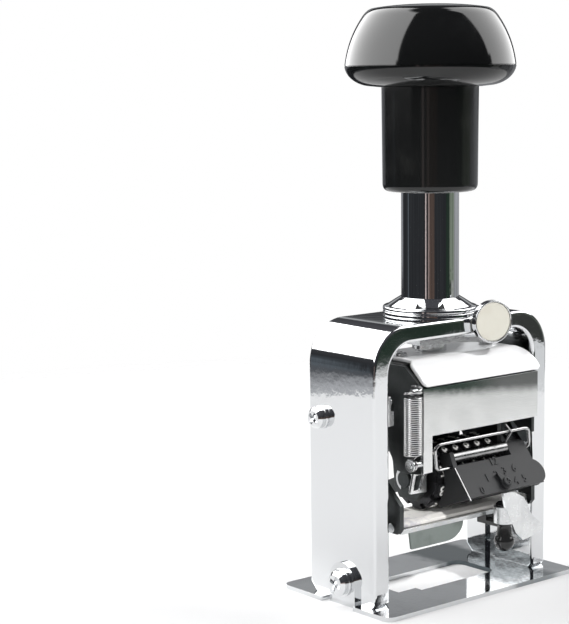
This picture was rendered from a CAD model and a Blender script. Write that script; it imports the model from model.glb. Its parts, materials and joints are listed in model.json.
# %% [markdown]
# A hand numbering machine, dressed for the camera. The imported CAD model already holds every
# piece at its real size. This lesson gives those pieces their finish: plated, satin and moulded
# surfaces, smooth turned parts, wire springs, type on the wheels and an inked felt pad.

# %% Load the frame
import json
import math

import bmesh
import bpy
import numpy as np
from mathutils import Matrix, Vector


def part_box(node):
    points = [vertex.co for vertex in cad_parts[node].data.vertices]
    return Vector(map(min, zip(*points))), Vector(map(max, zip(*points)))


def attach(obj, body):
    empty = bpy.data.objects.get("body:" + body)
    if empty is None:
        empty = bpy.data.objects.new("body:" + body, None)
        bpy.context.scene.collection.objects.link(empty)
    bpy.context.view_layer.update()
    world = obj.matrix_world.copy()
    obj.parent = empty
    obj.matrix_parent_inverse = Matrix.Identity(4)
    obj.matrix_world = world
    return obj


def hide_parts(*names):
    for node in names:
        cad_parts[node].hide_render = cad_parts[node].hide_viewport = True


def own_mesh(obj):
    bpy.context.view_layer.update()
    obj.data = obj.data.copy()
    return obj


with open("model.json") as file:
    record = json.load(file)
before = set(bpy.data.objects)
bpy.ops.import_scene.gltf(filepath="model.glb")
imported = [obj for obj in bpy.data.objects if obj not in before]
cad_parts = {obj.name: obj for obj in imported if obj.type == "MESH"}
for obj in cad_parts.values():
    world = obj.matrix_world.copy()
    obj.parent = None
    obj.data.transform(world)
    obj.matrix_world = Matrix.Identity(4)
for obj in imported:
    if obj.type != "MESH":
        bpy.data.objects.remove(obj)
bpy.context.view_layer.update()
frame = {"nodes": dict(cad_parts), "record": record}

MM = 0.001
body_of = {node: body for body, nodes in frame["record"]["behaviour"]["bodies"].items() for node in nodes}


def box_mm(node):
    """Lowest and highest corner of a CAD node, as two arrays in millimetres."""
    low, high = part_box(node)
    return np.array(low) / MM, np.array(high) / MM


# %% [markdown]
# The camera stands where a person at a desk would hold it: in front, to the left, a little above
# the head of the machine. A camera at rest looks straight down. So it is rolled first, then tipped
# up until it looks pitch below the level, then turned by yaw, and moved last.

# %% Camera
CAMERA_PLACE = Vector((-0.37078, -0.38164, 0.155497))
CAMERA_YAW, CAMERA_PITCH, CAMERA_ROLL = -0.688, 0.134, -0.011
CAMERA_LENS = 101.9


def added(name, data):
    """A new object in the scene."""
    thing = bpy.data.objects.new(name, data)
    bpy.context.scene.collection.objects.link(thing)
    return thing


camera = added("camera", bpy.data.cameras.new("camera"))
bpy.context.scene.camera = camera
camera.data.lens = CAMERA_LENS
camera.data.sensor_width = 36
tipped = Matrix.Rotation(math.pi / 2 - CAMERA_PITCH, 4, "X") @ Matrix.Rotation(CAMERA_ROLL, 4, "Z")
camera.matrix_world = Matrix.Translation(CAMERA_PLACE) @ Matrix.Rotation(CAMERA_YAW, 4, "Z") @ tipped
print("camera at", [round(c, 3) for c in camera.location])

# %% [markdown]
# Shader maths reads best as ordinary sums. Wire wraps one socket, and its operators add Math
# nodes, so `0.04 + 0.1 * grain` builds two. Shader.node adds any other node, from its type, its
# settings and the values or links of its sockets.

# %% Shader helper


class Wire:
    """A socket of a node tree that takes part in sums as a number does."""

    def __init__(self, shader, socket):
        self.shader = shader
        self.socket = socket

    def maths(self, operation, first, second):
        """One Math node."""
        return self.shader.node("ShaderNodeMath", {0: first, 1: second}, operation=operation)

    def __add__(self, other):
        return self.maths("ADD", self, other)

    __radd__ = __add__

    def __sub__(self, other):
        return self.maths("SUBTRACT", self, other)

    def __rsub__(self, other):
        return self.maths("SUBTRACT", other, self)

    def __mul__(self, other):
        return self.maths("MULTIPLY", self, other)

    __rmul__ = __mul__

    def __truediv__(self, other):
        return self.maths("DIVIDE", self, other)

    def __pow__(self, other):
        return self.maths("POWER", self, other)

    def step(self, low, high):
        """0 below low, 1 above high, a smooth rise between them."""
        return self.shader.node("ShaderNodeMapRange", {"Value": self, "From Min": low, "From Max": high},
                                interpolation_type="SMOOTHSTEP")


class Shader:
    """The node tree of a material or of the world."""

    def __init__(self, owner):
        owner.use_nodes = True
        self.tree = owner.node_tree
        self.tree.nodes.clear()

    def node(self, kind, sockets=None, out=0, **settings):
        """Adds a node, sets its settings, then its sockets, and returns one of its outputs."""
        node = self.tree.nodes.new(kind)
        for key, value in settings.items():
            setattr(node, key, value)
        for key, value in (sockets or {}).items():
            if isinstance(value, Wire):
                self.tree.links.new(value.socket, node.inputs[key])
            elif node.inputs[key].type == "RGBA":
                node.inputs[key].default_value = (*value, 1)
            else:
                node.inputs[key].default_value = value
        return Wire(self, node.outputs[out])

    def parts(self, vector):
        """The three numbers of a vector."""
        first = self.node("ShaderNodeSeparateXYZ", {0: vector})
        return [Wire(self, first.socket.node.outputs[k]) for k in range(3)]

    def place(self, stretch=(1, 1, 1)):
        """Object coordinates, stretched along each axis."""
        spot = self.node("ShaderNodeTexCoord", out=3)
        return self.node("ShaderNodeMapping", {"Vector": spot, "Scale": stretch})

    def noise(self, size_mm, detail=3, roughness=0.6, stretch=(1, 1, 1)):
        """Noise from 0 to 1 whose blots are about size_mm across."""
        return self.node("ShaderNodeTexNoise", {
            "Vector": self.place(stretch), "Scale": 1 / (size_mm * MM), "Detail": detail,
            "Roughness": roughness})

    def mix(self, share, first, second):
        """Colour first where share is 0, second where it is 1."""
        return self.node("ShaderNodeMix", {0: share, 6: first, 7: second}, out=2, data_type="RGBA")

    def bump(self, height, depth_mm):
        """Normals of a relief that is depth_mm deep where height goes from 0 to 1."""
        return self.node("ShaderNodeBump", {"Distance": depth_mm * MM, "Height": height})

    def output(self, kind, surface):
        """The last node of the tree: what the surface or the background looks like."""
        output = self.tree.nodes.new(kind)
        self.tree.links.new(surface.socket, output.inputs["Surface"])


def coated(name, recipe, sockets):
    """A new material: fixed sockets first, then what recipe(shader) adds to them."""
    material = bpy.data.materials.new(name)
    shader = Shader(material)
    surface = shader.node("ShaderNodeBsdfPrincipled", {**sockets, **recipe(shader)})
    shader.output("ShaderNodeOutputMaterial", surface)
    return material


MATERIALS = {}


def finish(name, sockets, recipe):
    """Makes the material of a slot."""
    MATERIALS[name] = coated(name + "_finish", recipe, sockets)


# %% [markdown]
# Chrome plate is a mirror, so what makes it look real is how it fails to be perfect. The coat
# has a faint orange peel, a few dull wipes and hair-fine scratches. Roughness carries the wipes,
# and a very shallow bump carries the peel.

# %% Plated and polished metals


def plating(peel_mm, peel_depth, low, high):
    """Recipe of a plated surface: orange peel of one size, and wipes between two roughnesses."""
    def recipe(shader):
        wipes = shader.noise(14, 4, 0.6).step(0.42, 0.72)
        hairs = shader.noise(0.35, 2, 0.6, stretch=(1, 1, 0.06)).step(0.66, 0.8)
        peel = shader.noise(peel_mm, 2, 0.45)
        return {"Roughness": low + (high - low) * wipes + 0.03 * hairs,
                "Normal": shader.bump(peel, peel_depth)}
    return recipe


finish("chrome", {"Base Color": (0.74, 0.75, 0.76), "Metallic": 1.0}, plating(2.4, 0.012, 0.03, 0.075))
finish("cap_chrome", {"Base Color": (0.98, 0.98, 0.98), "Metallic": 0.28}, plating(2.5, 0.003, 0.16, 0.24))

STAIN_LEFT, STAIN_RIGHT, STAIN_FRONT = (9, 15), (28.5, 33), (-24, -14)


def stained_plate(shader):
    """The base plate, where ink has dulled the plating to the right of the print window."""
    sockets = plating(1.2, 0.005, 0.06, 0.12)(shader)
    x, y, _ = shader.parts(shader.place())
    cloud = shader.noise(5, 3, 0.55) - 0.5
    stain = (x / MM + 7 * cloud).step(*STAIN_LEFT) * (1 - (x / MM + 3 * cloud).step(*STAIN_RIGHT))
    thick = (y / MM + 6 * cloud).step(*STAIN_FRONT)
    stain = stain * (0.62 + 0.3 * thick)
    sockets["Base Color"] = shader.mix(stain, (0.68, 0.69, 0.7), (0.085, 0.11, 0.12))
    return sockets


finish("base_chrome", {"Metallic": 1.0}, stained_plate)
print("plated finishes", list(MATERIALS))

# %% [markdown]
# The stamped and cast metal is duller. Barrel polishing leaves a grain of tiny dents, which a
# fine noise gives as bump, and the colour shifts a little where the grain is deeper.

# %% Satin and dark metals


def grained(light, dark, grain_mm, depth, low, high):
    """Recipe of a satin metal: colour, roughness and bump follow one grain."""
    def recipe(shader):
        grain = shader.noise(grain_mm)
        clouds = shader.noise(9, 3, 0.55).step(0.35, 0.7)
        return {"Base Color": shader.mix(0.35 * grain + 0.5 * clouds, light, dark),
                "Roughness": low + (high - low) * grain,
                "Normal": shader.bump(grain, depth)}
    return recipe


# Metallic, light and dark colour, grain and its depth in mm, lowest and highest roughness.
SATIN = {
    "zinc": (1.0, (0.93, 0.935, 0.93), (0.84, 0.85, 0.845), 0.8, 0.01, 0.2, 0.28),
    "steel": (1.0, (0.74, 0.75, 0.75), (0.48, 0.49, 0.5), 0.9, 0.02, 0.16, 0.3),
    "lever_zinc": (1.0, (0.86, 0.87, 0.87), (0.58, 0.59, 0.6), 1.1, 0.025, 0.22, 0.36),
    "spring_steel": (1.0, (0.6, 0.6, 0.6), (0.46, 0.46, 0.46), 0.3, 0.004, 0.16, 0.28),
    "dark_steel": (0.9, (0.08, 0.084, 0.084), (0.045, 0.05, 0.05), 0.8, 0.008, 0.26, 0.4),
    "bronze": (1.0, (0.55, 0.4, 0.22), (0.42, 0.3, 0.16), 0.5, 0.01, 0.25, 0.4),
    "type_metal": (0.3, (0.92, 0.91, 0.88), (0.8, 0.79, 0.76), 0.4, 0.01, 0.25, 0.4),
    "bar_steel": (1.0, (0.4, 0.4, 0.4), (0.24, 0.24, 0.245), 0.5, 0.012, 0.2, 0.32),
    "brass": (1.0, (0.75, 0.6, 0.3), (0.62, 0.48, 0.22), 0.5, 0.01, 0.22, 0.36),
    "wheel_dark": (0.85, (0.07, 0.07, 0.074), (0.035, 0.035, 0.038), 0.5, 0.01, 0.28, 0.42),
}
for name, (metallic, *grain) in SATIN.items():
    finish(name, {"Metallic": metallic}, grained(*grain))
print("satin finishes", len(SATIN))

# %% [markdown]
# The front plate is satin zinc too, but soot-dark under the cap's lip. The mask is worked out from
# the place itself: it grows with the height above a slightly sloping, clouded edge, and it is
# stronger at the left.

# %% Grime under the lip
GRIME_EDGE, GRIME_SLOPE, GRIME_SPAN = 60.7, 0.08, 3.8


def lip_grime(shader):
    """The satin front plate, darkened under the cap's lip, where ink mist gathers at the left."""
    sockets = grained((0.86, 0.865, 0.86), (0.7, 0.71, 0.705), 0.45, 0.018, 0.2, 0.3)(shader)
    x, _, z = shader.parts(shader.place())
    x, z = x / MM, z / MM
    cloud = shader.noise(2.2)
    edge = GRIME_EDGE - GRIME_SLOPE * (x + 14) + 1.8 * (cloud - 0.5)
    share = (z - edge).step(0.0, GRIME_SPAN) * (0.97 - 0.17 * x.step(-6, 16))
    soot = shader.mix(x.step(-4, 14), (0.03, 0.055, 0.042), (0.042, 0.046, 0.045))
    sockets["Base Color"] = shader.mix(share, sockets["Base Color"], soot)
    return sockets


finish("front_zinc", {"Metallic": 1.0}, lip_grime)

# %% [markdown]
# The grip is moulded plastic with a deep gloss, the selector block is die-cast metal under a
# matte black paint. Gloss plastic shows almost no bump, only dust and a few faint rubs. The
# paint has an even, dry grain.

# %% Plastics and paint


def moulded(colour, worn, low, high, grain_mm, depth):
    """Recipe of a moulded or painted surface: rubbed patches and a fine grain."""
    def recipe(shader):
        rubs = shader.noise(11, 4, 0.6).step(0.5, 0.78)
        grain = shader.noise(grain_mm, 2, 0.5)
        return {"Base Color": shader.mix(rubs, colour, worn),
                "Roughness": low + (high - low) * rubs,
                "Normal": shader.bump(grain, depth)}
    return recipe


# Fixed sockets, colour and worn colour, lowest and highest roughness, grain and its depth in mm.
MOULDED = {
    "knob_black": ({"IOR": 1.5}, (0.006, 0.0065, 0.0065), (0.01, 0.0105, 0.0105), 0.07, 0.12, 3.0, 0.004),
    "sleeve_black": ({"IOR": 1.5}, (0.008, 0.0085, 0.0085), (0.012, 0.0125, 0.012), 0.12, 0.2, 2.0, 0.004),
    "grip_black": ({"IOR": 1.5}, (0.012, 0.012, 0.012), (0.02, 0.02, 0.02), 0.16, 0.26, 1.0, 0.006),
    "matte_black": ({"IOR": 1.38},
                    (0.015, 0.0155, 0.0165), (0.024, 0.0245, 0.026), 0.46, 0.56, 0.35, 0.018),
    "nylon": ({"IOR": 1.5}, (0.72, 0.7, 0.62), (0.66, 0.63, 0.55), 0.4, 0.5, 0.6, 0.01),
    "cream": ({"IOR": 1.5, "Coat Weight": 0.2, "Coat Roughness": 0.15},
              (0.57, 0.555, 0.49), (0.53, 0.505, 0.44), 0.3, 0.38, 1.2, 0.006),
    "tab_green": ({"Metallic": 0.55}, (0.22, 0.25, 0.235), (0.15, 0.17, 0.16), 0.3, 0.42, 0.9, 0.03),
}
for name, (sockets, *grain) in MOULDED.items():
    finish(name, sockets, moulded(*grain))
print("finishes", len(MATERIALS))

# %% [markdown]
# Felt is a mat of short fibres. Stretched noise in two directions gives the fibres, a coarse
# noise the lumps, and a mask of purple ink soaks the left end, where the pad is refilled.

# %% Felt


def felt(shader):
    """Pale fibres and lumps, soaked with ink towards the left end."""
    across = shader.noise(0.5, stretch=(1, 0.3, 1))
    along = shader.noise(0.5, stretch=(0.3, 1, 1))
    lumps = shader.noise(3.2)
    x, _, _ = shader.parts(shader.place())
    leftness = (x * -1.0 / MM).step(2, 24)
    ink = (leftness * 0.55 + shader.noise(2.6)).step(0.82, 1.12)
    pale = shader.mix(lumps, (0.93, 0.91, 0.86), (0.8, 0.78, 0.74))
    return {"Base Color": shader.mix(0.45 * ink, pale, (0.34, 0.32, 0.44)),
            "Normal": shader.bump(0.5 * across + 0.5 * along + 0.8 * lumps, 0.12)}


finish("felt", {"Roughness": 0.95, "Sheen Weight": 0.3, "Sheen Roughness": 0.5}, felt)

# %% [markdown]
# Each CAD node came with a material named after its finish. That name is its slot, and the new
# material takes the old one's place.

# %% Dress every CAD node
slot_of = {}
for name, node in frame["nodes"].items():
    slot = node.data.materials[0].name.split(".")[0]
    slot_of[name] = slot
    node.data.materials[0] = MATERIALS[slot]
print("slots used", sorted(set(slot_of.values())))

# %% [markdown]
# The light is what a mirror shows. Two tall soft boxes stand left and right of the camera, the
# table is white for a forearm's length around the machine, and beyond it the room is dim. The
# world carries the room and the boxes, as functions of the direction that a ray leaves in. A round
# chrome tube squeezes the whole room into itself, so each narrow strip below is one of its lines.

# %% Room
LEFT_BOX, RIGHT_BOX = (127, 54), (-14, 33)
LEFT_POWER, RIGHT_POWER = 4.9, 3.6
SCATTERED_SHARE = 0.43
ROOM_LOW, ROOM_HIGH, BLOT = (0.036, 0.038, 0.042), (0.1, 0.1, 0.11), (0.012, 0.013, 0.015)
# Heading and half width in degrees, colour, and the band of heights that the strip fills.
STRIPS = (
    (50, 40, (0.4, 0.41, 0.42), "shelf"),
    (-50, 18, (0.026, 0.044, 0.032), "low"),
    (-42, 2.2, (0.048, 0.052, 0.048), "low"),
    (129.6, 2.6, (0.12, 0.14, 0.16), "low"),
    (-33, 7, (0.5, 0.51, 0.49), "tube"),
    (-36, 15, (0.27, 0.32, 0.25), "upper tube"),
    (10, 34, (0.42, 0.43, 0.45), "tube"),
    (4, 15, (0.5, 0.51, 0.54), "far"),
    (72, 17, (0.38, 0.39, 0.42), "far"),
    (230, 13, (0.13, 0.09, 0.075), "low"),
    (209, 1.6, (0.8, 0.66, 0.64), "low"),
    (221, 1.4, (0.42, 0.33, 0.31), "low"),
)


def facing(x, y, heading, half_width, soft=3):
    """1 in the directions within half_width degrees of a heading, measured from +X."""
    turn = math.radians(heading)
    share = (x * math.cos(turn) + y * math.sin(turn)) / ((x * x + y * y) ** 0.5 + 0.0001)
    near, far = (math.cos(math.radians(half_width + k * soft / 2)) for k in (1, -1))
    return share.step(near, far)


def box_glow(shader, x, y, share=1.0):
    """The boxes' light: the left box is the brighter one."""
    power = (RIGHT_POWER + (LEFT_POWER - RIGHT_POWER) * facing(x, y, LEFT_BOX[0], 80)) * share
    return shader.node("ShaderNodeCombineXYZ", {0: power, 1: power, 2: power})


# The camera sees white. Mirrors see the boxes at full power, matt surfaces a share of it.
world = bpy.data.worlds.new("studio")
bpy.context.scene.world = world
room = Shader(world)
ray = room.node("ShaderNodeTexCoord", out=0)
x, y, z = room.parts(ray)
low = 1 - z.step(0.02, 0.14)
tube_low = low * (1 - z.step(-0.04, -0.01))
bands = {"low": low, "tube": tube_low, "upper tube": tube_low * z.step(-0.122, -0.112),
         "far": low * z.step(-0.13, -0.1), "shelf": z.step(0.12, 0.2) * (1 - z.step(0.28, 0.34))}
room_light = room.mix(z.step(0.05, 0.85), ROOM_LOW, ROOM_HIGH)
for heading, half, colour, height in STRIPS:
    room_light = room.mix(facing(x, y, heading, half) * bands[height], room_light, colour)
blots = room.node("ShaderNodeTexNoise", {"Vector": ray, "Scale": 9.0, "Detail": 3.0})
blots = 0.5 * blots.step(0.3, 0.7) * (1 - z.step(0.05, 0.2))
room_light = room.mix(blots, room_light, BLOT)
boxes = facing(x, y, *LEFT_BOX) + facing(x, y, *RIGHT_BOX)
boxes = boxes * z.step(0.26, 0.31) * (1 - z.step(0.93, 0.97))
to_camera = room.node("ShaderNodeLightPath")
to_mirror = room.node("ShaderNodeLightPath", out=3)
share = SCATTERED_SHARE + (1 - SCATTERED_SHARE) * to_mirror
glow = room.mix(boxes, room_light, box_glow(room, x, y, share))
colour = room.mix(to_camera, glow, (1.0, 1.0, 1.0))
room.output("ShaderNodeOutputWorld", room.node("ShaderNodeBackground", {"Color": colour}))
print("strips in the room", len(STRIPS))

# %% [markdown]
# The world is endlessly far away, but a round knob shows where things really stand. So the boxes
# come down to the knob's height as a round screen near the machine, and the table's far edge is a
# flat ring. Both are seen by mirrors only: they glow, and their Alpha cuts them to shape.

# %% Screen, table edge and table
SCREEN_R, SCREEN_FOOT, SCREEN_TOP = 0.28, 0.152, 0.62
RING_IN, RING_OUT, RING_Z = 0.33, 0.56, 0.0004
FRONT_EDGE, REAR_EDGE = (-35, 10, 5), (134, 34, 8)
BAND_STEPS, TABLE_STEPS = 120, 96
TABLE_R, TABLE_SOLID, TABLE_MIDDLE = 0.46, 0.365, (0.005, -0.002)


def circling(a, radius, height, middle=(0, 0)):
    """Points round an upright axis at the angles a: x = mx + r cos a, y = my + r sin a, z = height."""
    x, y = middle[0] + radius * np.cos(a), middle[1] + radius * np.sin(a)
    return np.stack([x, y, height + 0 * a], axis=-1)


def circle(steps, *place):
    """Evenly spaced points of a level circle."""
    return circling(np.linspace(0, 2 * np.pi, steps, endpoint=False), *place)


def staged(name, points, faces, cloth):
    """Makes a mesh of the studio, not of the machine. cloth(shader) gives its material's sockets."""
    mesh = bpy.data.meshes.new(name)
    mesh.from_pydata(points.tolist(), [], faces)
    mesh.materials.append(coated(name + "_cloth", cloth, {}))
    thing = added(name, mesh)
    return thing


def band(name, first, last, glow):
    """A strip between two circles (radius, height). glow(shader) gives its colour and its Alpha."""
    def cloth(shader):
        colour, shown = glow(shader)
        return {"Base Color": (0.0, 0.0, 0.0), "Specular IOR Level": 0.0, "Emission Strength": 1.0,
                "Emission Color": colour, "Alpha": shown}

    index = np.arange(BAND_STEPS)
    ahead = (index + 1) % BAND_STEPS
    faces = np.stack([index, ahead, ahead + BAND_STEPS, index + BAND_STEPS], axis=1)
    points = np.vstack([circle(BAND_STEPS, *first), circle(BAND_STEPS, *last)])
    thing = staged(name, points, faces.tolist(), cloth)
    thing.visible_camera = False
    thing.visible_diffuse = False
    thing.visible_shadow = False


def screen_glow(shader):
    """The boxes, from the screen's foot to its top."""
    x, y, z = shader.parts(shader.place())
    shown = facing(x, y, *LEFT_BOX) + facing(x, y, *RIGHT_BOX)
    shown = shown * z.step(SCREEN_FOOT, SCREEN_FOOT + 0.012) * (1 - z.step(SCREEN_TOP - 0.12, SCREEN_TOP))
    return box_glow(shader, x, y), shown


def edge_glow(shader):
    """The far edge: at the front right it is white out to 0.51 m, at the rear left it turns grey."""
    x, y, _ = shader.parts(shader.place())
    reach = (x * x + y * y) ** 0.5
    front = facing(x, y, *FRONT_EDGE)
    rear = facing(x, y, *REAR_EDGE)
    grey = shader.mix(reach.step(0.37, 0.45), (0.5, 0.51, 0.53), (0.1, 0.105, 0.115))
    shown = front * (1 - reach.step(0.5, 0.515)) * reach.step(0.33, 0.37)
    shown = shown + rear * (1 - reach.step(0.43, 0.5)) * reach.step(0.362, 0.37)
    return shader.mix(rear, (0.8, 0.81, 0.82), grey), shown


def paper(shader):
    """Pale paper that fades out at its rim, so that it ends in the white of the background."""
    x, y, _ = shader.parts(shader.place())
    x, y = x - TABLE_MIDDLE[0], y - TABLE_MIDDLE[1]
    reach = (x * x + y * y) ** 0.5
    return {"Base Color": (0.96, 0.96, 0.96), "Roughness": 0.8, "Specular IOR Level": 0.0,
            "Alpha": 1 - reach.step(TABLE_SOLID, TABLE_R - 0.02)}


band("panel", (SCREEN_R, SCREEN_FOOT), (SCREEN_R, SCREEN_TOP), screen_glow)
band("horizon", (RING_IN, RING_Z), (RING_OUT, RING_Z), edge_glow)
staged("table", circle(TABLE_STEPS, TABLE_R, 0, TABLE_MIDDLE), [list(range(TABLE_STEPS))], paper)

# %% [markdown]
# Three lamps add the light that soft boxes can't: one from above for the paper, one low at the
# left, and a narrow spot on the head, whose front would else stay in the shade of the frame.
# Mirrors don't see them, because a square lamp in a chrome surface looks like a hole.

# %% Lamps


def lamp(name, kind, place, energy, target=(0, 0, 0.08), **settings):
    """A lamp that looks at target."""
    data = bpy.data.lights.new(name, kind)
    data.energy = energy
    for key, value in settings.items():
        setattr(data, key, value)
    light = added(name, data)
    light.visible_glossy = False
    place = Vector(place)
    turn = (Vector(target) - place).to_track_quat("-Z", "Y")
    light.matrix_world = Matrix.Translation(place) @ turn.to_matrix().to_4x4()


lamp("top_lamp", "AREA", (0.25, 0.05, 1.1), 3.9, size=0.7)
lamp("front_fill", "AREA", (-0.86, -0.5, 0.24), 3.4, size=0.4)
lamp("head_spot", "SPOT", (-0.04, -0.46, 0.4), 10.5, (0, -0.012, 0.064),
     spot_size=math.radians(13), spot_blend=0.5, shadow_soft_size=0.02)
bpy.context.scene.view_settings.view_transform = "Standard"

# %% [markdown]
# Every new piece is a skin over a grid of points. A turned part is one outline carried round an
# axis, a wire is one circle carried along a path, and the arched frame is one section carried
# from foot to foot. One function makes them all: it joins each ring of points to the next and
# closes the ends.

# %% Skins
SHARP = 32  # degrees


def skin(rings, ends="flat"):
    """Points and faces of a closed skin: ring i, point j is joined to its neighbours in both directions.
    ends is flat (one face over each end), point (the ends meet in a point) or round (the last ring
    meets the first)."""
    count, around, _ = rings.shape
    index = np.arange(count * around).reshape(count, around)
    if ends == "round":
        index = np.vstack([index, index[:1]])
    low, high = index[:-1], index[1:]
    quads = np.stack([low, np.roll(low, -1, 1), np.roll(high, -1, 1), high], axis=-1).reshape(-1, 4)
    points = rings.reshape(-1, 3)
    faces = quads.tolist()
    if ends == "flat":
        faces += [index[0, ::-1].tolist(), index[-1].tolist()]
    if ends == "point":
        tips = np.stack([rings[0].mean(0), rings[-1].mean(0)])
        for ring, tip in ((index[0, ::-1], len(points)), (index[-1], len(points) + 1)):
            faces += np.stack([ring, np.roll(ring, -1), np.full(around, tip)], axis=-1).tolist()
        points = np.vstack([points, tips])
    return points, faces


def joined(*skins):
    """Several skins as one: the points follow each other and the faces count on."""
    points = np.vstack([part[0] for part in skins])
    starts = np.cumsum([0] + [len(part[0]) for part in skins])
    faces = [[start + corner for corner in face] for part, start in zip(skins, starts) for face in part[1]]
    return points, faces


def welded(mesh, gap, flat=0.0):
    """Points and faces of a mesh, with points closer than gap merged. Faces that meet at less than
    flat degrees become one."""
    made = bmesh.new()
    made.from_mesh(mesh)
    bmesh.ops.remove_doubles(made, verts=made.verts, dist=gap)
    if flat:
        bmesh.ops.dissolve_limit(made, angle_limit=math.radians(flat), verts=made.verts, edges=made.edges)
    made.verts.index_update()
    points = np.array([v.co for v in made.verts])
    faces = [[v.index for v in face.verts] for face in made.faces]
    made.free()
    return points, faces


def piece(name, shape, slot, nodes=(), body=None, sharp=SHARP, level=True, look=None):
    """Makes a skin in millimetres into a finished piece that rides on a body and stands for nodes.
    Edges that turn by more than sharp degrees stay sharp. look names a finish other than the slot's."""
    points, faces = shape
    mesh = bpy.data.meshes.new(name)
    mesh.from_pydata((points * MM).tolist(), [], faces)
    made = bmesh.new()
    made.from_mesh(mesh)
    bmesh.ops.recalc_face_normals(made, faces=made.faces)
    made.to_mesh(mesh)
    made.free()
    mesh.shade_smooth()
    mesh.set_sharp_from_angle(angle=math.radians(sharp))
    mesh.materials.append(MATERIALS[look or slot])
    thing = added(name, mesh)
    if level:
        thing.modifiers.new("level", "WEIGHTED_NORMAL").keep_sharp = True
    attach(thing, body or body_of[nodes[0]])
    if nodes:
        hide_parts(*nodes)
    print(name, len(mesh.polygons), "faces")
    return thing


# %% [markdown]
# Turned and moulded parts have no truly sharp corner. The helpers below swap each corner of an
# outline for an arc that touches both sides, so the outline itself stays a short list.

# %% Outlines


def arc(start, corner, end, steps):
    """The curve (1 - t)^2 start + 2 t (1 - t) corner + t^2 end, which touches both sides of a corner."""
    share = np.linspace(0, 1, steps + 1)[:, None]
    return (1 - share) ** 2 * start + 2 * share * (1 - share) * corner + share ** 2 * end


def oblong(low, high):
    """Four corners, from the lowest and the highest."""
    return [low, (high[0], low[1]), high, (low[0], high[1])]


def rounded(corners, radii, steps=5):
    """Outline through corners, each swapped for an arc that touches both of its sides. A corner whose
    radius is 0 stays."""
    corners = np.array(corners, float)
    pieces = []
    for k, radius in enumerate(radii):
        here = corners[k]
        if radius == 0:
            pieces.append(here[None])
            continue
        back = corners[k - 1] - here
        ahead = corners[(k + 1) % len(corners)] - here
        limit = 0.49 * min(np.linalg.norm(back), np.linalg.norm(ahead))
        back /= np.linalg.norm(back)
        ahead /= np.linalg.norm(ahead)
        half = math.acos(np.clip(back @ ahead, -1, 1)) / 2
        run = min(radius / math.tan(half), limit)
        pieces.append(arc(here + back * run, here, here + ahead * run, steps))
    return np.vstack(pieces)


def turned_box(node):
    """Radius, foot and top of an upright turned CAD node."""
    low, high = box_mm(node)
    return (high[0] - low[0]) / 2, low[2], high[2]


def turned(outline, around=144, ends="round", centre=(0, 0)):
    """Carries an outline of (radius, height) round an upright axis."""
    return skin(circle(around, outline[:, :1], outline[:, 1:], centre), ends)


# %% [markdown]
# The knob is the part that a hand knows. Its side leans in by a power of the height, its crown
# is almost flat, and a soft shoulder joins the two. A hairline groove marks the widest seam,
# where the halves of the mould met.

# %% Knob
KNOB_LIP, SEAM_GROOVE = 6.3, 0.22
CROWN = 0.663


def knob_outline(radius, dome):
    """Radii and heights above the seam: lip arc, groove, side, shoulder curve and crown."""
    lip = np.radians(np.linspace(78, 3, 20))
    lip_r = radius * (1 - 0.31 * (1 - np.cos(lip)) - 0.02 * np.sin(lip))
    under = np.stack([lip_r, -0.95 * KNOB_LIP * np.sin(lip) - 0.1], axis=1)
    seam_r = radius - SEAM_GROOVE
    groove = np.array([[radius, -0.12], [seam_r, -0.05], [seam_r, 0.05], [radius - 0.02, 0.14]])
    side_z = np.linspace(0.3, 0.805 * dome, 22)
    lean = 0.092 * side_z / dome + 0.1035 * (side_z / (0.711 * dome)) ** 2.29
    side = np.stack([radius * (1 - lean), side_z], axis=1)
    crown_r = np.linspace(CROWN, 0.0, 14)[:-1] * radius
    crown = np.stack([crown_r, dome * (1 - 0.061 * (crown_r / (CROWN * radius)) ** 2.4)], axis=1)
    shoulder = arc(side[-1], np.array([0.731 * radius, 0.924 * dome]), crown[0], 9)[1:-1]
    bottom = [[0.2, -KNOB_LIP], [0.6 * radius, -KNOB_LIP]]
    return np.vstack([bottom, under, groove, side, shoulder, crown])


knob_r, knob_foot, knob_top = turned_box("knob")
knob_shape = knob_outline(knob_r, knob_top - knob_foot - KNOB_LIP)
knob_shape[:, 1] += knob_foot + KNOB_LIP
piece("knob_shell", turned(knob_shape, ends="point"), "knob_black", ["knob"], sharp=50)

# %% [markdown]
# The sleeve is a plain moulded tube, but its lower rim is rounded, and that rim is where it
# catches the light. The column is drawn steel tube under chrome; its foot stands in a stepped
# collar with two beads and a cone.

# %% Sleeve, column and collar
SLEEVE_TAPER, SLEEVE_RIM, SLEEVE_BORE_R = 0.25, 0.9, 9.5
COLUMN_WALL = 1.0
BEAD_WAIST, CONE_SHELF, COLLAR_GAP = 0.5, 1.2, 0.05

sleeve_r, sleeve_foot, sleeve_top = turned_box("knob_sleeve")
sleeve_foot += SLEEVE_RIM
sleeve_outline = rounded(
    [(SLEEVE_BORE_R, sleeve_foot), (sleeve_r - SLEEVE_TAPER, sleeve_foot), (sleeve_r, sleeve_top),
     (SLEEVE_BORE_R, sleeve_top)], (0.5, 2.4, 0.2, 0.2), steps=10)
piece("sleeve_tube", turned(sleeve_outline), "sleeve_black", ["knob_sleeve"])

column_r, column_foot, column_top = turned_box("column_tube")
column_outline = rounded(oblong((column_r - COLUMN_WALL, column_foot), (column_r, column_top)),
                         (0.1, 0.1, 0.3, 0.3))
piece("column_shell", turned(column_outline), "chrome", ["column_tube"])

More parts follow.
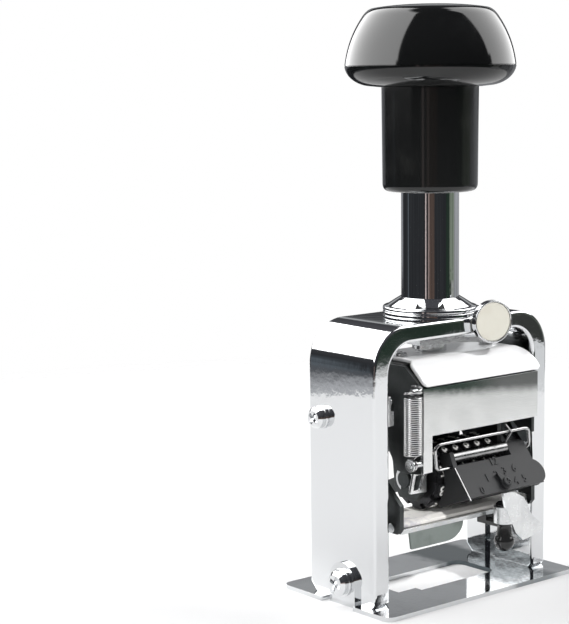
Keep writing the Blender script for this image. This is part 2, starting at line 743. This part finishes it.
foot_r, collar_z, collar_top = turned_box("column_collar")
waist_r, bore_r = foot_r - BEAD_WAIST, column_r + COLLAR_GAP
collar_outline = rounded(
    [(bore_r, collar_z), (foot_r, collar_z), (foot_r, collar_z + 1.15), (waist_r, collar_z + 1.3),
     (waist_r, collar_z + 1.45), (foot_r, collar_z + 1.6), (foot_r, collar_z + 2.6),
     (foot_r - CONE_SHELF, collar_z + 2.9), (column_r + 1.8, collar_top - 0.9),
     (column_r + 0.3, collar_top), (bore_r, collar_top)],
    (0, 0.3, 0.6, 0.1, 0.1, 0.5, 0.7, 0.8, 1.4, 0.1, 0), steps=7)
piece("collar_ring", turned(collar_outline), "chrome", ["column_collar"])

# %% [markdown]
# The arched frame is one bar bent from foot to foot. Its outer and inner edges are two paths
# with the same number of stations, so at each station the section only has to span the gap
# between them. Inside each leg runs a groove, and the feet are notched front and back.

# %% Arched frame
FRAME_R, FRAME_INNER_R, FRAME_EDGE = 12.6, 9.0, 0.9
LEG_T, ARCH_T = 5.9, 5.0
GROOVE_FRONT, GROOVE_REAR, GROOVE_DEPTH, GROOVE_TOP = 1.4, 5.8, 1.2, 44.0
TOE, HEEL = 0.9, 2.4


def arch_path(half_width, top, radius, heights):
    """The arch's edge: up the leg through the given heights, round the shoulder to the middle, and
    mirrored."""
    leg = np.stack([np.full(len(heights), half_width), heights], axis=1)
    straight = top - radius
    rise = np.linspace(0, 1, 6)[1:, None]
    leg_top = leg[-1] + rise * (np.array([half_width, straight]) - leg[-1])
    a = np.radians(np.linspace(0, 90, 25))[1:]
    shoulder = np.stack([half_width - radius + radius * np.cos(a), straight + radius * np.sin(a)], axis=1)
    flat = np.linspace(1, 0, 9)[1:-1, None] * np.array([[half_width - radius, 0]]) + np.array([[0, top]])
    path = np.vstack([leg, leg_top, shoulder, flat])
    return np.vstack([path, path[::-1] * [-1, 1]])


def frame_skin():
    """At each station, a section from the outer edge inward, with its corners rounded and its groove."""
    (_, _, foot), (half, deep, top) = box_mm("frame")
    heights = np.concatenate([[foot, foot + TOE], np.linspace(foot + HEEL, GROOVE_TOP - 0.02, 8),
                              [GROOVE_TOP + 0.02, 52.0, 60.0]])
    outer = arch_path(half, top, FRAME_R, heights)
    inner = arch_path(half - LEG_T, top - ARCH_T, FRAME_INNER_R, heights)
    span = np.linalg.norm(inner - outer, axis=1)
    inward = (inner - outer) / span[:, None]
    rings = []
    for spot, way, wall in zip(outer, inward, span):
        height = spot[1] - foot
        front = -deep + max(0, TOE - height)
        rear = deep - max(0, HEEL - height)
        depth = GROOVE_DEPTH if spot[1] < GROOVE_TOP else 0.001
        section = rounded(
            [(0, front), (0, rear), (wall, rear), (wall, GROOVE_REAR), (wall - depth, GROOVE_REAR),
             (wall - depth, GROOVE_FRONT), (wall, GROOVE_FRONT), (wall, front)],
            (FRAME_EDGE, FRAME_EDGE, FRAME_EDGE, 0, 0, 0, 0, FRAME_EDGE))
        reach = spot + section[:, :1] * way
        rings.append(np.column_stack([reach[:, 0], section[:, 1], reach[:, 1]]))
    return skin(np.array(rings))


piece("frame_arch", frame_skin(), "chrome", ["frame"])

# %% [markdown]
# Springs and bent wires are circles carried along a path. The circle has to stay square to the
# path, so each station gets a pair of directions worked out from the path's own tangent.

# %% Wires


def tube(path, radius, sides=10):
    """A circle of the given radius at each point of path, in the plane square to the path there."""
    along = np.gradient(path, axis=0)
    along /= np.linalg.norm(along, axis=1, keepdims=True)
    seed = np.tile([0.12, 0.05, 1.0], (len(path), 1))
    side = np.cross(along, seed)
    flat = np.linalg.norm(side, axis=1) < 0.25
    side[flat] = np.cross(along[flat], [1.0, 0.1, 0.0])
    side /= np.linalg.norm(side, axis=1, keepdims=True)
    up = np.cross(side, along)
    a = np.linspace(0, 2 * np.pi, sides, endpoint=False)[None, :, None]
    return skin(path[:, None] + radius * (np.cos(a) * side[:, None] + np.sin(a) * up[:, None]))


def bent(points, radius):
    """A path through points, with each inner corner rounded by the given radius."""
    points = np.array(points, float)
    stretches = [points[:1]]
    for before, here, after in zip(points, points[1:], points[2:]):
        back, ahead = before - here, after - here
        back_length, ahead_length = np.linalg.norm(back), np.linalg.norm(ahead)
        run = min(radius, 0.48 * back_length, 0.48 * ahead_length)
        stretches.append(arc(here + back / back_length * run, here, here + ahead / ahead_length * run, 8))
    stretches.append(points[-1:])
    return np.vstack(stretches)


def helix(radius, turns, low, high, middle=(0, 0)):
    """A coil that rises evenly from low to high."""
    t = np.linspace(0, 2 * np.pi * turns, turns * 24 + 1)
    return circling(t, radius, low + (high - low) * t / t[-1], middle)


# %% [markdown]
# The small spring at the head's side is drawn out between two pins, so it has a hook at its foot and
# an open turn round the upper pin. The return spring hides in the column. It is a plain coil, and
# it flattens towards its seat as the knob goes down.

# %% Springs
SPRING_R, SPRING_WIRE, SPRING_TURNS = 2.4, 0.38, 27
SPRING_X, SPRING_Y, SPRING_PIN_R = -23.5, -17.2, 1.0
HOOK_R = SPRING_PIN_R + 0.05 + SPRING_WIRE
RETURN_WIRE_R, RETURN_TURNS, PRESS_TRAVEL = 0.6, 13, 24.8


def pawl_spring_path():
    """Hook round the lower pin, a helix up to the upper pin, and one open turn round that pin."""
    pins_low, pins_high = box_mm("spring_pins")
    low, high = pins_low[2] + SPRING_PIN_R, pins_high[2] - SPRING_PIN_R
    coil_low, coil_high = low + 2.9, high - HOOK_R
    a = np.radians(np.linspace(-240, 60, 26))
    hook = np.column_stack([np.full(26, SPRING_X), SPRING_Y + HOOK_R * np.cos(a), low + HOOK_R * np.sin(a)])
    near = np.array([[SPRING_X + 0.8 * SPRING_R, SPRING_Y + 0.4, coil_low - 0.5]])
    coil = helix(SPRING_R, SPRING_TURNS, coil_low, coil_high, (SPRING_X, SPRING_Y))
    b = np.linspace(0, 7 * np.pi / 3, 30)[1:]
    rise = 2 * (high - coil_high) * np.minimum(b / (2 * np.pi), 1)
    end = circling(b, SPRING_R, coil_high + rise, (SPRING_X, SPRING_Y))
    return np.vstack([hook, near, coil, end])


piece("pawl_spring_wire", tube(pawl_spring_path(), SPRING_WIRE, sides=9), "spring_steel", ["pawl_spring"],
      sharp=80, level=False)

(_, _, seat_z), (coil_x, _, coil_top) = box_mm("return_spring")
return_path = helix(coil_x - RETURN_WIRE_R, RETURN_TURNS, seat_z + RETURN_WIRE_R, coil_top - RETURN_WIRE_R)
coil = piece("return_coil", tube(return_path, RETURN_WIRE_R, sides=8), slot_of["return_spring"],
             ["return_spring"], sharp=80, level=False)
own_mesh(coil)

# %% [markdown]
# The bail over the wheels is one thin wire. It leaves the block at the left, rises, runs along the
# wheels and comes down at the right, where a small bent pointer sits behind it.

# %% Bail
BAIL_LEFT, BAIL_RIGHT = (-16.9, 39.3), (-15.4, 40.6)
BAIL_Y, BAIL_TOP = -17.9, 47.3
bail_points = [(-7.2, *BAIL_LEFT), (-12.8, *BAIL_LEFT), (-13.9, -17.1, 40), (-15.3, BAIL_Y, 45.2),
               (-15.2, BAIL_Y, 46.2), (-13.9, BAIL_Y, 47.2), (-12.4, BAIL_Y, BAIL_TOP),
               (22.8, BAIL_Y, BAIL_TOP), (24.3, BAIL_Y + 0.1, 46.9), (25, BAIL_Y + 0.4, 45.9),
               (26, -16.8, 42.2), (26, -16, 40.9), (25.5, *BAIL_RIGHT), (23.5, *BAIL_RIGHT)]
pointer_points = [(13.6, BAIL_Y - 0.75, BAIL_TOP + 2.6), (16.2, BAIL_Y - 0.75, BAIL_TOP),
                  (13.6, BAIL_Y - 0.75, BAIL_TOP - 2.8)]
piece("bail_wire", joined(tube(bent(bail_points, 1.2), 0.5), tube(bent(pointer_points, 0.5), 0.3, 8)),
      "spring_steel", ["wire_bail"], sharp=80, level=False)

# %% [markdown]
# The head's cap is a bright folded sheet. It climbs from the front plate's top edge, bends, and
# runs level to the rear. Its section is a thin slab with rounded edges, as wide as the outline
# is at that distance along the fold, and the slab thins out at the front lip and at the rear.

# %% Cap
CAP_T, CAP_EDGE, CAP_BEND_R = 1.4, 0.5, 1.0
CAP_LIP_RISE, CAP_SLOPE_D = 1.0, 9.0
CAP_LEFT_CORNER, CAP_RIGHT_CORNER, CAP_REAR_CORNER = 2.2, 0.7, 4.0
CAP_LEAN, CAP_HIP_LEFT, CAP_HIP_RIGHT, CAP_FLARE = 1.6, 3.4, 3.6, 1.25
CAP_THINNEST = 0.02 ** 0.5


def quarter(share):
    """A quarter circle: 1 where share is 0 or less, down to 0 where it is 1."""
    return np.sqrt(1 - np.clip(share, 0, 1) ** 2)


def inset(distance, radius):
    """How far a rounded corner draws the side in, at a distance from the corner's tip."""
    return radius * (1 - quarter(1 - distance / radius))


def cap_skin():
    """A slab across each station of the fold. climb goes from 0 at the lip to 1 at the fold."""
    low, high = box_mm("head_cap")
    lip, rear = np.array([low[1], low[2] + CAP_LIP_RISE]), np.array([high[1], high[2]])
    fold = np.array([lip[0] + CAP_SLOPE_D, high[2]])
    run = bent([lip, fold, rear], CAP_BEND_R)
    steps = np.concatenate([[0], np.cumsum(np.linalg.norm(np.diff(run, axis=0), axis=1))])
    slope, total = np.linalg.norm(fold - lip), steps[-1]
    front = CAP_LEFT_CORNER * (1 - np.cos(np.linspace(0, np.pi / 2, 9)))
    back = total - CAP_REAR_CORNER * (1 - np.cos(np.linspace(np.pi / 2, 0, 9)))
    marks = (front[-1], slope - CAP_BEND_R, slope + CAP_BEND_R, back[0])
    spans = [np.linspace(*span) for span in zip(marks, marks[1:], (14, 12, 8))]
    along = np.unique(np.concatenate([front, *spans, back]))
    middle = np.stack([np.interp(along, steps, run[:, k]) for k in range(2)], axis=1)
    tangent = np.gradient(middle, axis=0)
    tangent /= np.linalg.norm(tangent, axis=1, keepdims=True)
    normal = np.stack([-tangent[:, 1], tangent[:, 0]], axis=1)
    climb = np.clip(along / slope, 0, 1)
    tail = inset(total - along, CAP_REAR_CORNER)
    turned_in = 1 - quarter((climb - 0.75) / 0.25)
    left = low[0] + CAP_LEAN * climb + (CAP_HIP_LEFT - CAP_LEAN) * turned_in
    left = left + inset(along, CAP_LEFT_CORNER) + tail
    flare = CAP_FLARE * np.sin(np.pi * np.clip(climb / 0.9, 0, 1)) ** 0.8
    hip = CAP_HIP_RIGHT * (1 - quarter((climb - 0.6) / 0.4))
    right = high[0] + flare - hip - inset(along, CAP_RIGHT_CORNER) - tail
    depth = CAP_T * np.maximum(CAP_THINNEST, quarter(1 - along / 0.7))
    depth = depth * np.maximum(CAP_THINNEST, quarter(1 - (total - along) / 0.5))
    rings = []
    for x0, x1, spot, way, thick in zip(left, right, middle, normal, depth):
        drop = (CAP_T - thick) / 2
        section = rounded(oblong((x0, -drop), (x1, drop - CAP_T)), (min(CAP_EDGE, 0.45 * thick),) * 4)
        rings.append(np.column_stack([section[:, 0], spot + section[:, 1:] * way]))
    return skin(np.array(rings))


piece("cap_sheet", cap_skin(), "cap_chrome", ["head_cap"], sharp=60)

# %% [markdown]
# The disc on the lock lever is a cream plastic button pressed into a thin bright rim. It is
# turned about its own axis, then tipped to face the front and swung a little to the left.

# %% Lock disc
DISC_TURN = math.radians(15)
DISC_PLACE = (8.5, -18.5)
DISC_RIM, DISC_DEEP, DISC_SUNK, DISC_CROWN = 0.5, 2.25, 0.35, 0.12
(_, _, disc_foot), (_, _, disc_top) = box_mm("lock_disc")
disc_z, disc_r = (disc_foot + disc_top) / 2, (disc_top - disc_foot) / 2


def swung(shape):
    """Stands a part turned about Z on its edge, facing -Y, then swings it by the angle t towards -X:
    x' = x cos t - z sin t, y' = -x sin t - z cos t, z' = y."""
    (x, y, z), faces = shape[0].T, shape[1]
    c, s = math.cos(DISC_TURN), math.sin(DISC_TURN)
    return np.column_stack([DISC_PLACE[0] + c * x - s * z, DISC_PLACE[1] - s * x - c * z,
                            y + disc_z]), faces


button_r = disc_r - DISC_RIM - 0.05
button = rounded([(0.05, DISC_CROWN - DISC_SUNK), (button_r, -DISC_SUNK), (button_r, 0.2 - DISC_DEEP),
                  (0.05, 0.2 - DISC_DEEP)], (0, 0.3, 0.1, 0), steps=6)
piece("disc_button", swung(turned(button, 96, "point")), "cream", ["lock_disc"])
rim = rounded(oblong((disc_r - DISC_RIM, -DISC_DEEP), (disc_r, 0)), (0.1, 0.25, 0.24, 0.24))
piece("disc_rim", swung(turned(rim, 96)), "chrome", body="lock")

# %% [markdown]
# The black grip under the release lever is a turned drop: a ball that narrows into a neck. The
# bar under the wire is ground rod with a chamfer at each end.

# %% Grip and bar
GRIP_X, GRIP_BALL_R, GRIP_NECK_R = 10.6, 3.1, 2.6
TONGUE_W, TONGUE_T, TONGUE_END = 4, 1.1, 0.2


def grip_skin():
    """A turned drop, and a flat tongue in profile (y, z) that steps down on to the tray."""
    low, high = box_mm("release_post")
    middle_y, ball_z = low[1] + GRIP_BALL_R, low[2] + GRIP_BALL_R
    a = np.radians(np.linspace(-88, 38, 22))
    ball = np.stack([GRIP_BALL_R * np.cos(a), ball_z + GRIP_BALL_R * np.sin(a)], axis=1)
    neck = rounded([ball[-1], (GRIP_NECK_R - 0.5, ball_z + 4.8), (GRIP_NECK_R, ball_z + 5.6),
                    (GRIP_NECK_R, high[2] - 0.6), (GRIP_NECK_R - 0.6, high[2]), (0.05, high[2])],
                   (0, 1.2, 0.5, 0.3, 0.3, 0))
    drop = turned(np.vstack([ball, neck[1:]]), 64, "point", (GRIP_X, middle_y))
    tongue_z = ball_z + 4.6
    tray_y, tray_z = box_mm("pad_tray")[0][1:]
    end_y = tray_y + TONGUE_END
    tongue = rounded([(middle_y, tongue_z), (tray_y + 4, tongue_z), (tray_y + 4, tray_z), (end_y, tray_z),
                      (end_y, tongue_z + TONGUE_T), (middle_y, tongue_z + TONGUE_T)], (0.2,) * 6, steps=3)
    rings = [np.insert(tongue, 0, GRIP_X + side * TONGUE_W / 2, axis=1) for side in (-1, 1)]
    return joined(drop, skin(np.array(rings)))


piece("grip_drop", grip_skin(), "grip_black", ["release_post"])

bar_low, bar_high = box_mm("stylus_bar")
bar_r = (bar_high[2] - bar_low[2]) / 2
bar_outline = rounded(oblong((0.02, bar_low[0]), (bar_r, bar_high[0])), (0, 0.4, 0.4, 0), steps=4)
bar_points, bar_faces = turned(bar_outline, 64, "point")
bar_points = bar_points[:, ::-1] + (0, bar_low[1] + bar_r, bar_low[2] + bar_r)
piece("bar_rod", (bar_points, bar_faces), "dark_steel", ["stylus_bar"], look="bar_steel")

# %% [markdown]
# Figures stand proud of the type wheels and of the dial. They start as font outlines. On a wheel
# they are wrapped round the rim, with v along the rim and w outward:
# y = y0 + (R + w) sin(a + v / R), z = z0 - (R + w) cos(a + v / R).
# That mapping mirrors them, as printing type is.

# %% Figures
WHEEL_AXLE = (-4.0, 34.7)
WHEEL_R, WHEEL_PITCH, WHEEL_MIDDLE = 9.9, 4.65, 3.5
TYPE_H, TYPE_PROUD, TYPE_SUNK, TYPE_SHIFT = 3.3, 0.15, 0.2, 0.3
FACE_Y, FACE_Z, FACE_TILT = -18.0, 39.9, math.radians(52.2)
DIAL_MARKS = (("0", -1.3, -9.1), ("1", 2.8, -5.6), ("2", 7.2, -5.1), ("3", 10.9, -4.5),
              ("6", 15.2, -4.3), ("12", 8.6, -0.9), ("4", 13.6, -8.4), ("5", 17.4, -8.2))
DIAL_H, DIAL_PROUD = 2.5, 0.32
FONT_HALF_T, FONT_BOLDER, FONT_GAP = 0.5, 0.012, 0.0005
BEAD_R, BEAD_TOP, BEAD_SPAN, BEAD_IN = 0.2, 0.14, (-11.6, -0.6), 0.3


def figure(text, height, deep):
    """A raised figure centred on the origin, its foot at w = 0, in millimetres."""
    curve = bpy.data.curves.new("figure", "FONT")
    curve.body = text
    curve.extrude = FONT_HALF_T
    curve.offset = FONT_BOLDER
    curve.resolution_u = 4
    block = added("figure", curve)
    bpy.context.view_layer.update()
    shape = bpy.data.meshes.new_from_object(block.evaluated_get(bpy.context.evaluated_depsgraph_get()))
    points, faces = welded(shape, FONT_GAP)
    bpy.data.objects.remove(block)
    bpy.data.meshes.remove(shape)
    bpy.data.curves.remove(curve)
    low, high = points.min(0), points.max(0)
    points = points - (low + high) / 2
    points[:, :2] *= height / (high[1] - low[1])
    points[:, 2] = (points[:, 2] + FONT_HALF_T) * deep
    return points, faces


def on_rim(shape, x, turn):
    """Wraps a figure round a wheel's rim at the given turn from straight down."""
    (u, v, w), faces = shape[0].T, shape[1]
    reach = WHEEL_R - TYPE_SUNK + w
    angle = turn + v / WHEEL_R
    y, z = WHEEL_AXLE[0] + reach * np.sin(angle), WHEEL_AXLE[1] - reach * np.cos(angle)
    return np.column_stack([x + u, y, z]), faces


def on_dial(shape, u0, v0, sunk=0.1):
    """Lays a figure on the selector block's face, which climbs at the tilt t: v runs up the slope,
    w stands square to it. y = v cos t - w sin t, z = v sin t + w cos t."""
    (u, v, w), faces = shape[0].T, shape[1]
    v, w = v + v0, w - sunk
    c, s = math.cos(FACE_TILT), math.sin(FACE_TILT)
    return np.column_stack([u + u0, FACE_Y + v * c - w * s, FACE_Z + v * s + w * c]), faces


type_figures = [figure(str(k), TYPE_H, TYPE_SUNK + TYPE_PROUD) for k in range(10)]
for i in range(1, 7):
    x = WHEEL_MIDDLE + (i - 3.5) * WHEEL_PITCH + TYPE_SHIFT
    ring_of_type = [on_rim(type_figures[k], x, math.radians(36 * k)) for k in range(10)]
    piece(f"type_{i}", joined(*ring_of_type), "steel", body=body_of[f"number_wheel_{i}"], level=False,
          look="type_metal")
marks = [on_dial(figure(text, DIAL_H, DIAL_PROUD), u, v) for text, u, v in DIAL_MARKS]
piece("dial_marks", joined(*marks), "matte_black", body=body_of["selector_block"], level=False)
bead = rounded(oblong((-BEAD_R, -BEAD_R), (BEAD_R, BEAD_TOP)), (0, 0, BEAD_TOP, BEAD_TOP), steps=4)
bead = skin(np.array([np.insert(bead, 1, v, axis=1) for v in np.linspace(*BEAD_SPAN, 8)]))
piece("dial_edge", on_dial(bead, box_mm("selector_block")[0][0] + BEAD_IN, 0, 0), "spring_steel",
      body=body_of["selector_block"])

# %% [markdown]
# The ink pad is a thick felt strip, cut to the tray and a little puffed by the ink it holds. Its
# surface is a flattened superellipsoid: each of x, y and z is a power of a sine or a cosine, and
# small powers give a slab with rounded edges. A few waves of unequal length lift the top in lumps.

# %% Felt pad
END_POWER, SIDE_POWER, TOP_POWER = 0.16, 0.22, 0.34


def felt_skin():
    """A superellipsoid over the angles along and around, with lumps and a puffed front edge."""
    low, high = box_mm("felt_pad")
    middle, half = (low + high) / 2, (high - low) / 2
    along = np.radians(np.linspace(-89, 89, 90))[:, None]
    around = np.radians(np.linspace(0, 360, 72, endpoint=False))[None, :]

    def power(wave, exponent):
        """The power of the wave's size, with the wave's sign."""
        return np.sign(wave) * np.abs(wave) ** exponent

    taper = np.cos(along) ** END_POWER
    x = middle[0] + half[0] * power(np.sin(along), END_POWER) + 0 * around
    y = middle[1] + half[1] * taper * power(np.cos(around), SIDE_POWER)
    lumps = (np.sin(0.9 * x + 0.4 * y) + np.sin(0.53 * x - 1.1 * y + 1) + np.sin(1.7 * x + 2.3 * y + 2)) / 3
    top = np.sin(around) > 0
    rise = power(np.sin(around), TOP_POWER) * (0.9 + 0.09 * lumps * top)
    roll = 0.55 * np.exp(-((y - low[1] - 1.8) / 1.6) ** 2) * (1 + 0.5 * lumps)
    z = middle[2] + half[2] * taper * rise + roll * top * taper
    return skin(np.stack([x, y, z], axis=2), "point")


pad = piece("ink_felt", felt_skin(), "felt", ["felt_pad"], sharp=180, level=False)

# %% [markdown]
# Stamped and milled pieces keep their CAD shape, but a real edge is never a knife. A copy of the
# CAD mesh is welded, its flat faces are merged, and a Bevel modifier rounds the edges, so each
# of them catches a thin line of light.

# %% Softened pieces
WELD_GAP, FLAT_ANGLE = 0.002, 0.6  # millimetres, degrees
EDGES = {
    "base_plate": 0.55, "head_front_plate": 0.1, "head_side_left": 0.06, "head_side_right": 0.2,
    "head_back_plate": 0.2, "index_bracket": 0.15, "advance_lug": 0.3, "selector_block": 0.35,
    "arm_left": 0.3, "arm_right": 0.3, "pad_tray": 0.3, "finger_tab": 0.25, "release_lever": 0.3,
    "lock_lever": 0.3, "selector_pointer": 0.15, "head_yoke": 0.3, "detent_bar": 0.2,
    "base_screws": 0.15, "base_washers": 0.12, "pad_pivot_screws": 0.15, "pad_pivot_bosses": 0.2,
    "pad_pivot_spacers": 0.12, "pad_pivot_clips": 0.08, "spring_pins": 0.12, "spring_pin_clip": 0.08,
    "pointer_screw": 0.08, "tray_rivets": 0.08, "pawl_frame": 0.2, "yoke_screws": 0.12, "lock_pin": 0.12,
    "spring_cap": 0.12, "column_bush": 0.12, "wheel_shaft": 0.12, "pawl_rod": 0.12,
}
LOOKS = {"head_front_plate": "front_zinc", "wheel_shaft": "dark_steel", "release_lever": "lever_zinc",
         "index_bracket": "zinc"}


def softened(node, edge_mm):
    """A welded copy of a CAD node with its edges rounded, standing for that node."""
    points, faces = welded(frame["nodes"][node].data, WELD_GAP * MM, FLAT_ANGLE)
    shape = (points / MM, faces)
    thing = piece(node + "_soft", shape, slot_of[node], [node], level=False, look=LOOKS.get(node))
    bevel = thing.modifiers.new("edges", "BEVEL")
    bevel.width = edge_mm * MM
    bevel.segments = 2
    bevel.limit_method = "ANGLE"
    bevel.angle_limit = math.radians(SHARP)
    bevel.use_clamp_overlap = True
    thing.modifiers.new("level", "WEIGHTED_NORMAL").keep_sharp = True


for node, edge in EDGES.items():
    softened(node, edge)
